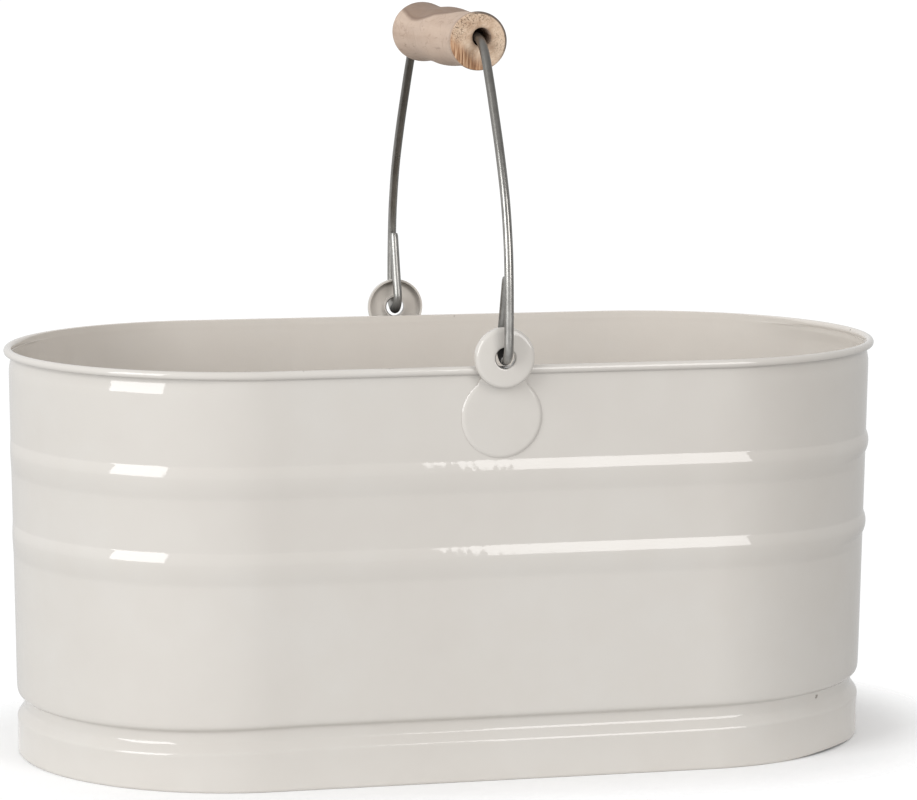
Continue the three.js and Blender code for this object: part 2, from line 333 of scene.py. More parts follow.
def build_lug(name, turned):
    half = math.radians(45.8)
    n_in, n_free = 36, 76
    # angles from straight down, anticlockwise seen from the front; the first n_in + 1 span the neck
    angles = [-half + 2 * half * i / n_in for i in range(n_in + 1)]
    angles += [half + (2 * math.pi - 2 * half) * i / n_free for i in range(1, n_free)]
    verts, faces = [], []

    def put(r, a, y):
        verts.append((r * math.sin(a), -y, CUP_Z - r * math.cos(a)))
        return len(verts) - 1

    head = [(HOLE_R, 92.75), (HOLE_R, 93.6), (HOLE_R, 94.5), (HOLE_R + 0.03, 94.95), (HOLE_R + 0.13, 95.28),
            (HOLE_R + 0.31, 95.53), (HOLE_R + 0.56, 95.67), (HOLE_R + 0.9, FACE_Y), (5.8, FACE_Y - 0.01), (7.0, FACE_Y - 0.05),
            (8.2, FACE_Y - 0.11), (9.2, FACE_Y - 0.165), (10.0, FACE_Y - 0.215)]
    for k in range(1, 10):
        t = math.radians(4 + 86 * k / 9)
        head.append((CUP_R - CUP_EDGE + CUP_EDGE * math.sin(t), FACE_Y - 0.24 - CUP_EDGE + CUP_EDGE * math.cos(t)))
    grid = []
    for i, a in enumerate(angles):
        off = abs(math.degrees(a if a <= math.pi else a - 2 * math.pi))
        end = 91.75 if i <= n_in else 92.25 - 0.75 * (1 - smooth(47.0, 60.0, off))
        y0 = head[-1][1]
        col = [put(r, a, y) for r, y in head]
        for k in range(1, 4):
            col.append(put(CUP_R, a, y0 + (end - y0) * k / 3))
        grid.append(col)
    for i in range(len(angles)):
        a, b = grid[i], grid[(i + 1) % len(angles)]
        for j in range(len(a) - 1):
            faces.append((a[j], b[j], b[j + 1], a[j + 1]))
    # fillet from the cup's side on to the disc
    fil = []
    for i in range(n_in + 1):
        a = angles[i]
        col = [grid[i][-1]]
        for k in range(1, 7):
            t = math.radians(90 * k / 6)
            r = CUP_R + 1.0 * (1 - math.cos(t))
            z = CUP_Z - r * math.cos(a)
            yp = plate_y(z)
            col.append(put(r, a, yp + (91.75 - yp) * (1 - math.sin(t))))
        fil.append(col)
    for i in range(n_in):
        for j in range(6):
            faces.append((fil[i][j], fil[i + 1][j], fil[i + 1][j + 1], fil[i][j + 1]))
    # disc: outline from the right end of the fillet, round the bottom, to its left end
    d0 = DISC_Z - CUP_Z
    side = [(9.42, -9.22), (9.52, -9.75), (9.80, -10.45), (10.20, -11.05)]
    arc = []
    for k in range(73):
        t = math.radians(41.5 + (360 - 83) * k / 72)
        arc.append((DISC_R * math.sin(t), d0 + DISC_R * math.cos(t)))
    outline = side + arc + [(-x, z) for x, z in reversed(side)]
    ring = [col[-1] for col in fil]                      # from left (-) to right (+)
    # its edge rounds off towards the wall
    strip = []
    for i, (x, z) in enumerate(outline):
        ax, az = outline[max(0, i - 1)]
        bx, bz = outline[min(len(outline) - 1, i + 1)]
        size = math.hypot(bx - ax, bz - az)
        ix, iz = (bz - az) / size, -(bx - ax) / size     # inwards
        w = smooth(0, 6, min(i, len(outline) - 1 - i))
        row = []
        for d in (0.0, 0.25, 0.5, 0.8, 1.15, EDGE_IN):
            drop = (EDGE_R - math.sqrt(EDGE_R ** 2 - (EDGE_IN - d) ** 2)) * w
            px, pz = x + ix * d * w, z + iz * d * w
            verts.append((px, -(plate_y(CUP_Z + pz) - drop), CUP_Z + pz))
            row.append(len(verts) - 1)
        strip.append(row)
    for a, b in zip(strip, strip[1:]):
        for k in range(len(a) - 1):
            faces.append((a[k], b[k], b[k + 1], a[k + 1]))
    outline = [(verts[row[-1]][0], verts[row[-1]][2] - CUP_Z) for row in strip]
    pts2 = [(verts[v][0], verts[v][2] - CUP_Z) for v in ring] + outline
    count = len(pts2)
    inner = []
    for f in (0.82, 0.7, 0.55, 0.35):
        for k in range(28):
            t = 2 * math.pi * (k + 0.5 * (len(inner) % 2)) / 28
            x, z = f * DISC_R * math.sin(t), d0 + f * DISC_R * math.cos(t)
            if math.hypot(x, z) > CUP_R + 1.6:
                inner.append((x, z))
    edges = [(i, (i + 1) % count) for i in range(count)]
    v2, _, f2, orig, _, _ = geometry.delaunay_2d_cdt([Vector(p) for p in pts2 + inner], edges, [], 1, 1e-6)
    index = []
    for i, p in enumerate(v2):
        src = orig[i][0] if orig[i] else None
        if src is not None and src < len(ring):
            index.append(ring[src])
        else:
            z = CUP_Z + p.y
            verts.append((p.x, -plate_y(z), z))
            index.append(len(verts) - 1)
    for f in f2:
        faces.append(tuple(index[i] for i in f))
    me = bpy.data.meshes.new(name)
    sign = -1.0 if turned else 1.0
    me.from_pydata([((sign * x + HANDLE_X) * MM, sign * y * MM, z * MM) for x, y, z in verts], [], faces)
    bm = bmesh.new()
    bm.from_mesh(me)
    bmesh.ops.remove_doubles(bm, verts=bm.verts, dist=0.004 * MM)
    bmesh.ops.recalc_face_normals(bm, faces=bm.faces)
    bm.faces.ensure_lookup_table()
    low = min(bm.faces, key=lambda f: f.calc_center_median().z)
    if low.normal.y * sign > 0:
        bmesh.ops.reverse_faces(bm, faces=bm.faces)
    bm.to_mesh(me)
    bm.free()
    o = new_object(name, me)
    s = o.modifiers.new("thick", "SOLIDIFY")
    s.thickness = LUG_T * MM
    s.offset = -1.0
    s.use_even_offset = True
    s.use_quality_normals = True
    apply_modifiers(o)
    o.data.shade_smooth()
    o.data.set_sharp_from_angle(angle=math.radians(50))
    return o


# ------------------------------------------------------------------ bail
WIRE_R = 1.83
HINGE_Z = 168.7
HOOK_Y = 93.8
HOOK_R = 6.0
HOOK_TIP = (95.8, 201.5)
LEG = [(99.8, 182), (99.8, 190), (99.3, 201), (98.2, 211.5), (96.7, 218.5), (95.0, 225), (92.6, 232), (89.7, 238.5), (86.4, 245),
       (82.6, 252), (78.7, 258.5), (74.7, 265), (70.7, 271.5), (66.4, 278), (63.0, 282.9), (59.9, 286.6), (56.8, 289.3),
       (53.2, 291.3), (49.5, 292.3), (44, 292.8), (30, 293.0), (15, 293.15)]
LEG_TOP_Z = 293.2


def bail_path():
    half = []
    base = (HOOK_Y - HOOK_R, HINGE_Z + HOOK_R)
    for k in (0, 0.34, 0.67):
        half.append((HOOK_TIP[0] + (base[0] - HOOK_TIP[0]) * k * 0.97, HOOK_TIP[1] + (base[1] - HOOK_TIP[1]) * k))
    for i in range(9):
        t = math.radians(180 + 22.5 * i)
        half.append((HOOK_Y + HOOK_R * math.cos(t), HINGE_Z + HOOK_R + HOOK_R * math.sin(t)))
    half += LEG
    pts = [(-y, z) for y, z in half] + [(0.0, LEG_TOP_Z)] + [(y, z) for y, z in reversed(half)]
    fine = catmull(pts, 14)
    # even spacing along the wire
    p = np.array(fine)
    s = np.concatenate([[0], np.cumsum(np.linalg.norm(np.diff(p, axis=0), axis=1))])
    count = int(s[-1] / 1.15)
    t = np.linspace(0, s[-1], count + 1)
    return np.stack([np.interp(t, s, p[:, 0]), np.interp(t, s, p[:, 1])], 1), t


def build_bail():
    path, dist = bail_path()
    n, m = len(path), 28
    tangent = np.gradient(path, axis=0)
    tangent /= np.linalg.norm(tangent, axis=1)[:, None]
    verts, faces = [], []
    for i in range(n):
        ty, tz = tangent[i]
        side = np.array((1.0, 0.0, 0.0))
        up = np.array((0.0, -tz, ty))
        # the straight-cut ends are rounded over a little
        r = WIRE_R
        e = min(dist[i], dist[-1] - dist[i])
        if e < 0.5:
            r -= 0.22 * (1 - e / 0.5) ** 2
        c = np.array((HANDLE_X, path[i][0], path[i][1]))
        for k in range(m):
            a = 2 * math.pi * k / m
            verts.append(c + r * (math.cos(a) * side + math.sin(a) * up))
    for i in range(n - 1):
        for k in range(m):
            q = (k + 1) % m
            faces.append((i * m + k, i * m + q, (i + 1) * m + q, (i + 1) * m + k))
    for first, i in ((0, 0), ((n - 1) * m, n - 1)):
        # the cut face, slightly domed, as concentric rings down to a middle point
        ring = list(range(first, first + m))
        c = np.array((HANDLE_X, path[i][0], path[i][1]))
        out = np.array((0.0, tangent[i][0], tangent[i][1])) * (-1 if i == 0 else 1)
        for f, h in ((0.6, 0.05), (0.25, 0.08)):
            nxt = []
            for v in ring:
                nxt.append(len(verts))
                verts.append(c + (np.array(verts[first + (v - ring[0])]) - c) * f + out * h)
            for k in range(m):
                q = (k + 1) % m
                faces.append((ring[k], ring[q], nxt[q], nxt[k]))
            ring = nxt
        verts.append(c + out * 0.09)
        for k in range(m):
            faces.append((ring[k], ring[(k + 1) % m], len(verts) - 1))
    o = make_mesh("bail_wire_round", verts, faces, 50.0)
    return o


# ------------------------------------------------------------------ grip
GRIP_Z = 291.1
BORE_Z = 292.6
BORE_X = 1.3         # the hole is drilled a little off the middle
BORE_R = 3.75
GRIP_END = 49.97
# radius and y from the crisp front end to the rounder, slightly fuller rear end
GRIP = [(11.71, -49.15), (11.73, -48.6), (11.55, -47), (11.24, -43), (11.01, -38), (10.93, -32), (11.02, -25), (11.41, -17),
        (11.85, -8.5), (11.93, 0), (11.54, 8.5), (11.30, 17), (11.35, 25), (11.65, 32), (12.07, 38), (12.36, 43), (12.32, 46.0),
        (12.18, 47.5), (11.92, 48.7), (11.60, 49.4)]


def build_grip():
    # rounded end edges, then the flat end faces in to the bore
    front = [(10.85, -49.97), (11.20, -49.95), (11.42, -49.86), (11.58, -49.68), (11.67, -49.45)]
    rear = [(11.30, 49.78), (11.0, 49.92), (10.7, 49.97)]
    prof = front + [tuple(p) for p in catmull(GRIP, 7)] + rear
    prof.reverse()
    m = 96
    verts, faces = [], []

    def ring(radius, y, zc, xc=HANDLE_X):
        base = len(verts)
        for k in range(m):
            a = 2 * math.pi * k / m
            verts.append((xc + radius * math.sin(a), y, zc + radius * math.cos(a)))
        return base

    def bridge(a, b):
        for k in range(m):
            q = (k + 1) % m
            faces.append((a + k, a + q, b + q, b + k))

    rings = []
    e = GRIP_END
    bore = [(BORE_R + 0.35, e), (BORE_R + 0.12, e - 0.1), (BORE_R, e - 0.4), (BORE_R, 40), (BORE_R, 20), (BORE_R, 0), (BORE_R, -20),
            (BORE_R, -40), (BORE_R, 0.4 - e), (BORE_R + 0.12, 0.1 - e), (BORE_R + 0.35, -e)]
    # outside, rear (+Y) to front
    for r, y in prof:
        rings.append(ring(r, y, GRIP_Z))
    # end faces: rings that move from the outer centre to the bore's centre
    def face(outer):
        out = []
        for k in range(1, 8):
            t = k / 8
            out.append((outer + (BORE_R + 0.35 - outer) * t, GRIP_Z + (BORE_Z - GRIP_Z) * t, HANDLE_X + BORE_X * t))
        return out

    for r, zc, xc in face(10.85):
        rings.append(ring(r, -e, zc, xc))
    for r, y in reversed(bore):
        rings.append(ring(r, y, BORE_Z, HANDLE_X + BORE_X))
    for r, zc, xc in reversed(face(10.7)):
        rings.append(ring(r, e, zc, xc))
    for i in range(len(rings)):
        bridge(rings[i], rings[(i + 1) % len(rings)])
    return make_mesh("wooden_grip_turned", verts, faces, 50.0)


# ------------------------------------------------------------------ materials
class Nodes:
    """Short calls for a material's node tree."""

    def __init__(self, name):
        self.mat = bpy.data.materials.new(name)
        self.mat.use_nodes = True
        self.tree = self.mat.node_tree
        self.tree.nodes.clear()
        self.out = self.add("ShaderNodeOutputMaterial")
        self.bsdf = self.add("ShaderNodeBsdfPrincipled")
        self.link(self.bsdf.outputs["BSDF"], self.out.inputs["Surface"])

    def add(self, kind, **values):
        node = self.tree.nodes.new(kind)
        for k, v in values.items():
            setattr(node, k, v)
        return node

    def link(self, a, b):
        self.tree.links.new(a, b)

    def coords(self, kind="Object", scale=(1, 1, 1), shift=(0, 0, 0), turn=(0, 0, 0)):
        t = self.add("ShaderNodeTexCoord")
        m = self.add("ShaderNodeMapping")
        m.inputs["Scale"].default_value = scale
        m.inputs["Location"].default_value = shift
        m.inputs["Rotation"].default_value = turn
        self.link(t.outputs[kind], m.inputs["Vector"])
        return m.outputs["Vector"]

    def noise(self, vector, scale, detail=3.0, rough=0.5, distort=0.0):
        n = self.add("ShaderNodeTexNoise")
        n.inputs["Scale"].default_value = scale
        n.inputs["Detail"].default_value = detail
        n.inputs["Roughness"].default_value = rough
        n.inputs["Distortion"].default_value = distort
        self.link(vector, n.inputs["Vector"])
        return n.outputs["Fac"]

    def range(self, value, a, b, c, d, kind="LINEAR"):
        n = self.add("ShaderNodeMapRange", interpolation_type=kind)
        n.inputs["From Min"].default_value = a
        n.inputs["From Max"].default_value = b
        n.inputs["To Min"].default_value = c
        n.inputs["To Max"].default_value = d
        self.link(value, n.inputs["Value"])
        return n.outputs["Result"]

    def ramp(self, value, stops, kind="LINEAR"):
        n = self.add("ShaderNodeValToRGB")
        n.color_ramp.interpolation = kind
        e = n.color_ramp.elements
        e[0].position, e[0].color = stops[0][0], (*stops[0][1], 1)
        e[1].position, e[1].color = stops[-1][0], (*stops[-1][1], 1)
        for p, c in stops[1:-1]:
            x = e.new(p)
            x.color = (*c, 1)
        self.link(value, n.inputs["Fac"])
        return n.outputs["Color"]

    def mix(self, fac, a, b, blend="MIX"):
        n = self.add("ShaderNodeMix", data_type="RGBA", blend_type=blend)
        for sock, v in ((n.inputs[0], fac), (n.inputs[6], a), (n.inputs[7], b)):
            if isinstance(v, (int, float)):
                sock.default_value = v
            elif isinstance(v, tuple):
                sock.default_value = (*v, 1)
            else:
                self.link(v, sock)
        return n.outputs[2]

    def math(self, op, a, b=None, clamp=False):
        n = self.add("ShaderNodeMath", operation=op, use_clamp=clamp)
        for sock, v in zip(n.inputs, (a, b)):
            if v is None:
                continue
            if isinstance(v, (int, float)):
                sock.default_value = v
            else:
                self.link(v, sock)
        return n.outputs[0]

    def curve(self, value, points):
        n = self.add("ShaderNodeFloatCurve")
        c = n.mapping.curves[0]
        c.points[0].location = points[0]
        c.points[1].location = points[-1]
        for p in points[1:-1]:
            c.points.new(*p)
        n.mapping.update()
        self.link(value, n.inputs["Value"])
        return n.outputs["Value"]

    def split(self, vector):
        n = self.add("ShaderNodeSeparateXYZ")
        self.link(vector, n.inputs[0])
        return n.outputs["X"], n.outputs["Y"], n.outputs["Z"]

    def bump(self, height, strength, distance, normal=None):
        n = self.add("ShaderNodeBump")
        n.inputs["Strength"].default_value = strength
        n.inputs["Distance"].default_value = distance
        self.link(height, n.inputs["Height"])
        if normal is not None:
            self.link(normal, n.inputs["Normal"])
        return n.outputs["Normal"]


NICKS = [((141.2, -68.0, 23.4), 1.5), ((-173.9, 24.1, 12.0), 0.9), ((178.2, 4.0, 165.9), 1.0)]


def paint_material():
    m = Nodes("off_white_gloss_paint")
    v = m.coords()
    broad = m.noise(v, 11.0, 3.0)
    fine = m.noise(v, 70.0, 4.0)
    both = m.math("ADD", m.math("MULTIPLY", broad, 0.7), m.math("MULTIPLY", fine, 0.3))
    col = m.ramp(both, [(0.34, (0.508, 0.480, 0.445)), (0.50, (0.520, 0.494, 0.459)), (0.66, (0.530, 0.508, 0.476))])
    # painted light: the inside faces are painted lighter and slightly warmer, standing in for the brighter light inside
    # the tub: faces that look back towards the middle of the plan
    x, y, _ = m.split(v)
    nx, ny, _ = m.split(m.add("ShaderNodeTexCoord").outputs["Normal"])
    ox = m.math("SUBTRACT", x, m.math("MAXIMUM", m.math("MINIMUM", x, 0.090), -0.090))
    out = m.math("ADD", m.math("MULTIPLY", ox, nx), m.math("MULTIPLY", y, ny))
    col = m.mix(m.range(out, -0.02, 0.01, 1.0, 0.0), col, m.mix(1.0, col, (1.155, 1.138, 1.124), "MULTIPLY"))
    # painted shade in the hollow back of the lugs' cups, strongest towards the top of the cup
    z = m.split(v)[2]
    cx, cz = m.math("SUBTRACT", x, HANDLE_X * MM), m.math("SUBTRACT", z, CUP_Z * MM)
    cr = m.math("SQRT", m.math("ADD", m.math("MULTIPLY", cx, cx), m.math("MULTIPLY", cz, cz)))
    ring = m.math("MULTIPLY", m.range(cr, 0.0086, 0.0101, 0.0, 1.0, "SMOOTHSTEP"), m.range(cr, 0.0106, 0.0116, 1.0, 0.15))
    ring = m.math("MULTIPLY", ring, m.math("MULTIPLY", m.range(out, -0.02, 0.01, 1.0, 0.0), m.range(m.math("ABSOLUTE", y), 0.0905, 0.0912, 0.0, 1.0)))
    ring = m.math("MULTIPLY", ring, m.range(cz, -0.002, 0.009, 0.06, 0.60))
    col = m.mix(ring, col, (0.105, 0.095, 0.082))
    # painted shade: near black in the left part of the lugs' holes, where the hole is seen in shade
    hole = m.math("MULTIPLY", m.range(cr, 0.0041, 0.0045, 0.95, 0.0), m.range(cx, 0.0, 0.0022, 1.0, 0.0))
    col = m.mix(m.math("MULTIPLY", hole, m.range(m.math("ABSOLUTE", y), 0.0905, 0.0912, 0.0, 1.0)), col, (0.020, 0.018, 0.016))
    # specks worn through along the rolled rim and the standing edge
    worn = m.math("MAXIMUM", m.range(z, 0.1640, 0.1652, 0.0, 1.0), m.range(z, 0.0012, 0.0022, 1.0, 0.0))
    worn = m.math("MULTIPLY", worn, m.range(m.noise(v, 620.0, 3.0, 0.6), 0.685, 0.725, 0.0, 0.62))
    worn = m.math("MULTIPLY", worn, m.range(m.noise(v, 22.0, 2.0), 0.50, 0.60, 0.0, 1.0))
    col = m.mix(worn, col, (0.150, 0.125, 0.105))
    # a few nicks down to the metal
    for spot, size in NICKS:
        near = m.add("ShaderNodeVectorMath", operation="DISTANCE")
        m.link(v, near.inputs[0])
        near.inputs[1].default_value = [c * MM for c in spot]
        ragged = m.math("ADD", near.outputs["Value"], m.range(m.noise(v, 1400.0, 2.0), 0.2, 0.8, -0.4 * size * MM, 0.4 * size * MM))
        col = m.mix(m.range(ragged, 0.55 * size * MM, 0.8 * size * MM, 0.75, 0.0), col, (0.170, 0.145, 0.125))
    m.link(col, m.bsdf.inputs["Base Color"])
    m.link(m.range(m.noise(v, 38.0, 3.0), 0.3, 0.7, 0.030, 0.055), m.bsdf.inputs["Roughness"])
    # the paint flows a little unevenly, with a faint orange peel on top
    flow = m.bump(m.noise(v, 85.0, 2.0, 0.5), 0.55, 0.00022)
    peel = m.bump(m.noise(v, 330.0, 2.0), 0.03, 0.0004, flow)
    m.link(peel, m.bsdf.inputs["Normal"])
    m.bsdf.inputs["IOR"].default_value = 1.56
    return m.mat


def wire_material():
    m = Nodes("drawn_zinc_grey_wire")
    v = m.coords()
    _, y, z = m.split(v)
    spots = m.noise(v, 900.0, 3.0, 0.55)
    patch = m.noise(v, 90.0, 3.0, 0.55)
    both = m.math("ADD", m.math("MULTIPLY", patch, 0.65), m.math("MULTIPLY", spots, 0.35))
    col = m.ramp(both, [(0.32, (0.235, 0.230, 0.218)), (0.50, (0.315, 0.308, 0.292)), (0.68, (0.395, 0.387, 0.368))])
    # duller where hands reach it near the grip; darker there as painted shade, where the wire bends away from the
    # lights
    dull_and_shade = m.range(m.math("ADD", z, m.range(patch, 0.0, 1.0, -0.02, 0.02)), 0.200, 0.280, 0.0, 1.0, "SMOOTHSTEP")
    col = m.mix(m.math("MULTIPLY", dull_and_shade, 0.68), col, (0.128, 0.121, 0.110))
    # painted shade: the hooks are made near black, non-metallic and rough where they sit in the lugs, seen in shade
    # through the holes
    far = m.range(y, -0.05, 0.05, 0.0, 0.0095)
    painted_hook_shade = m.math("MULTIPLY", m.range(m.math("ADD", z, far), 0.1765, 0.1865, 1.0, 0.0, "SMOOTHSTEP"), m.range(m.math("ABSOLUTE", y), 0.0938, 0.0960, 1.0, 0.0, "SMOOTHSTEP"))
    col = m.mix(m.math("MULTIPLY", painted_hook_shade, 0.96), col, (0.012, 0.011, 0.010))
    m.link(col, m.bsdf.inputs["Base Color"])
    rough = m.math("ADD", m.range(both, 0.35, 0.65, 0.13, 0.22), m.math("MULTIPLY", dull_and_shade, 0.17))
    rough = m.math("ADD", rough, m.math("MULTIPLY", painted_hook_shade, 0.4))
    rough = m.math("ADD", rough, m.range(z, 0.190, 0.215, 0.20, 0.0, "SMOOTHSTEP"))
    m.link(rough, m.bsdf.inputs["Roughness"])
    m.link(m.bump(spots, 0.07, 0.0003), m.bsdf.inputs["Normal"])
    m.link(m.range(painted_hook_shade, 0.0, 1.0, 1.0, 0.0), m.bsdf.inputs["Metallic"])
    m.link(m.range(painted_hook_shade, 0.0, 1.0, 0.5, 0.06), m.bsdf.inputs["Specular IOR Level"])
    return m.mat


def wood_material():
    """Pale turned wood: long grain, darker along the top, end grain on both flat ends."""
    m = Nodes("turned_pale_wood")
    v = m.coords()
    x, y, z = m.split(v)
    x = m.math("SUBTRACT", x, HANDLE_X * MM)
    zc = m.math("SUBTRACT", z, GRIP_Z * MM)
    # long grain, stretched along Y
    stretched = m.coords(scale=(1, 0.05, 1))
    grain = m.noise(stretched, 520.0, 5.0, 0.6, 0.4)
    broad = m.noise(stretched, 95.0, 3.0, 0.5, 0.9)
    mottle = m.noise(m.coords(scale=(1, 0.45, 1)), 190.0, 3.0, 0.6, 0.5)
    both = m.math("ADD", m.math("ADD", m.math("MULTIPLY", broad, 0.45), m.math("MULTIPLY", grain, 0.3)), m.math("MULTIPLY", mottle, 0.25))
    side = m.ramp(both, [(0.30, (0.362, 0.260, 0.193)), (0.46, (0.440, 0.328, 0.254)), (0.66, (0.513, 0.397, 0.313))])
    # darker along the top, with a dark line on its edge: an arch whose edge is an angle round the axis that changes
    # along the grip
    turn = m.math("ARCTAN2", x, zc)
    along = m.range(m.math("ADD", y, m.range(m.noise(v, 160.0, 2.0), 0.0, 1.0, -0.002, 0.002)), -0.05, 0.05, 0.0, 1.0)
    arch = m.curve(along, [(0.0, 0.86), (0.19, 0.66), (0.23, 0.47), (0.27, 0.385), (0.34, 0.325), (0.41, 0.28), (0.47, 0.24),
                           (0.53, 0.215), (0.62, 0.19), (0.72, 0.185), (0.81, 0.21), (0.88, 0.245), (0.95, 0.275), (1.0, 0.30)])
    edge = m.range(arch, 0.0, 1.0, -math.pi / 2, math.pi / 2)
    past = m.math("SUBTRACT", turn, edge)
    inside = m.math("MULTIPLY", m.range(past, -0.05, 0.05, 0.0, 1.0, "SMOOTHSTEP"), m.range(turn, 1.1, 1.7, 1.0, 0.0, "SMOOTHSTEP"))
    line = m.math("MULTIPLY", m.range(m.math("ABSOLUTE", past), 0.02, 0.12, 1.0, 0.0, "SMOOTHSTEP"), m.range(turn, 0.2, 0.8, 1.0, 0.0))
    figured = m.mix(inside, side, m.mix(1.0, side, (0.49, 0.435, 0.390), "MULTIPLY"))
    figured = m.mix(m.math("MULTIPLY", line, m.range(mottle, 0.3, 0.7, 0.35, 0.75)), figured, (0.150, 0.090, 0.060))
    # painted shade on the lower far side, where the grip turns away from the lights, and darker towards the ends
    flank_shade_and_ends = m.math("MAXIMUM", m.range(turn, -2.0, -2.6, 0.0, 0.20, "SMOOTHSTEP"), m.range(m.math("ABSOLUTE", y), 0.0445, 0.0500, 0.0, 0.40, "SMOOTHSTEP"))
    figured = m.mix(flank_shade_and_ends, figured, (0.215, 0.150, 0.110))
    # fine dark checks and a few crack-like lines
    checks = m.noise(m.coords(scale=(1, 0.12, 1)), 900.0, 3.0, 0.7, 0.6)
    figured = m.mix(m.range(checks, 0.60, 0.72, 0.0, 0.55), figured, (0.215, 0.140, 0.098))
    crack = m.noise(m.coords(scale=(1, 0.5, 1), shift=(0.3, 0.1, 0.7)), 75.0, 2.0, 0.5, 1.2)
    crack = m.range(m.math("ABSOLUTE", m.math("SUBTRACT", crack, 0.5)), 0.0, 0.014, 0.38, 0.0)
    figured = m.mix(crack, figured, (0.255, 0.165, 0.115))
    # end grain: cream, growth rings, pores, and coarse saw streaks low on one side
    dx = m.math("SUBTRACT", x, 0.022)
    dz = m.math("ADD", zc, 0.030)
    far = m.math("SQRT", m.math("ADD", m.math("MULTIPLY", dx, dx), m.math("MULTIPLY", dz, dz)))
    rings = m.math("SINE", m.math("MULTIPLY", m.math("ADD", far, m.range(m.noise(v, 130.0, 2.0), 0.0, 1.0, 0.0, 0.003)), 3600.0))
    cream = m.ramp(m.noise(v, 240.0, 4.0, 0.6), [(0.30, (0.370, 0.250, 0.168)), (0.52, (0.510, 0.380, 0.275)), (0.72, (0.610, 0.480, 0.360))])
    cream = m.mix(m.range(rings, 0.2, 1.0, 0.0, 0.18), cream, (0.36, 0.21, 0.115))
    flat = m.coords(scale=(1, 0.0, 1))
    pores = m.noise(flat, 1250.0, 2.0, 0.7)
    where = m.noise(flat, 130.0, 2.0, 0.5)
    rad = m.math("SQRT", m.math("ADD", m.math("MULTIPLY", x, x), m.math("MULTIPLY", zc, zc)))
    # most open pores: upper left out to the edge, and right of the bore
    upper = m.math("MULTIPLY", m.range(m.math("SUBTRACT", zc, m.math("MULTIPLY", x, 0.75)), 0.001, 0.008, 0.0, 1.0), m.range(rad, 0.0050, 0.0090, 0.25, 1.0))
    right = m.math("MULTIPLY", m.range(x, 0.0045, 0.0080, 0.0, 0.8), m.range(m.math("ABSOLUTE", zc), 0.003, 0.008, 1.0, 0.1))
    open_ = m.math("MAXIMUM", m.math("MAXIMUM", upper, right), m.range(where, 0.50, 0.62, 0.0, 0.5))
    speck = m.math("MULTIPLY", m.range(pores, 0.52, 0.61, 0.0, 1.0), open_)
    cream = m.mix(m.math("MULTIPLY", speck, 0.88), cream, (0.105, 0.066, 0.038))
    saw = m.noise(m.coords(scale=(1, 0.0, 0.07), turn=(0, math.radians(12), 0)), 1250.0, 3.0, 0.6)
    low = m.math("MULTIPLY", m.range(m.math("ADD", zc, m.math("MULTIPLY", x, 0.9)), -0.0115, -0.0050, 1.0, 0.0, "SMOOTHSTEP"),
                 m.range(x, 0.0030, 0.0060, 1.0, 0.0, "SMOOTHSTEP"))
    streaks = m.ramp(saw, [(0.41, (0.16, 0.070, 0.030)), (0.52, (0.35, 0.185, 0.094)), (0.65, (0.58, 0.380, 0.240))])
    cream = m.mix(m.math("MULTIPLY", low, 0.95), cream, streaks)
    cream = m.mix(m.range(x, 0.0040, 0.0090, 0.0, 0.28, "SMOOTHSTEP"), cream, (0.690, 0.545, 0.410))
    # darker round the bore
    bore = m.math("SUBTRACT", zc, (BORE_Z - GRIP_Z) * MM)
    bore_x = m.math("SUBTRACT", x, BORE_X * MM)
    bore = m.math("SQRT", m.math("ADD", m.math("MULTIPLY", bore_x, bore_x), m.math("MULTIPLY", bore, bore)))
    cream = m.mix(m.range(bore, 0.0036, 0.0052, 0.55, 0.0, "SMOOTHSTEP"), cream, (0.16, 0.10, 0.065))
    # painted shade on the rounded rim round the upper right of the ends, where the edge faces away from the lights
    rim = m.math("MULTIPLY", m.range(rad, 0.01060, 0.01100, 0.0, 1.0, "SMOOTHSTEP"),
                 m.math("MULTIPLY", m.range(turn, -0.55, 0.10, 0.0, 1.0, "SMOOTHSTEP"), m.range(turn, 1.6, 2.5, 1.0, 0.0, "SMOOTHSTEP")))
    nrm = m.add("ShaderNodeTexCoord")
    facing = m.math("ABSOLUTE", m.split(nrm.outputs["Normal"])[1])
    ends = m.range(facing, 0.55, 0.85, 0.0, 1.0, "SMOOTHSTEP")
    col = m.mix(ends, figured, cream)
    close = m.range(m.math("ABSOLUTE", y), 0.0468, 0.0484, 0.0, 1.0)
    col = m.mix(m.math("MULTIPLY", m.math("MULTIPLY", rim, close), 0.85), col, (0.055, 0.042, 0.035))
    # painted shade: near black inside the bore
    col = m.mix(m.range(bore, 0.00348, 0.00360, 0.92, 0.0), col, (0.020, 0.012, 0.008))
    m.link(col, m.bsdf.inputs["Base Color"])
    m.link(m.range(grain, 0.3, 0.7, 0.52, 0.70), m.bsdf.inputs["Roughness"])
    m.link(m.bump(m.mix(ends, grain, pores), 0.25, 0.0003), m.bsdf.inputs["Normal"])
    m.bsdf.inputs["Specular IOR Level"].default_value = 0.3
    return m.mat


PAINT = paint_material()
WIRE = wire_material()
WOOD = wood_material()


def dress(o, material, body, node):
    o.data.materials.clear()
    o.data.materials.append(material)
    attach(o, body)
    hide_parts(node)
    return o


dress(build_wall(), PAINT, "tub", "tub_wall")
dress(build_pan(), PAINT, "tub", "base_pan")
dress(build_lug("front_lug_pressing", False), PAINT, "tub", "front_lug")
dress(build_lug("rear_lug_pressing", True), PAINT, "tub", "rear_lug")
dress(build_bail(), WIRE, "bail", "bail_wire")
dress(build_grip(), WOOD, "grip", "wooden_grip")

rim_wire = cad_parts["rim_wire"]
rim_wire.data.materials.clear()
rim_wire.data.materials.append(WIRE)


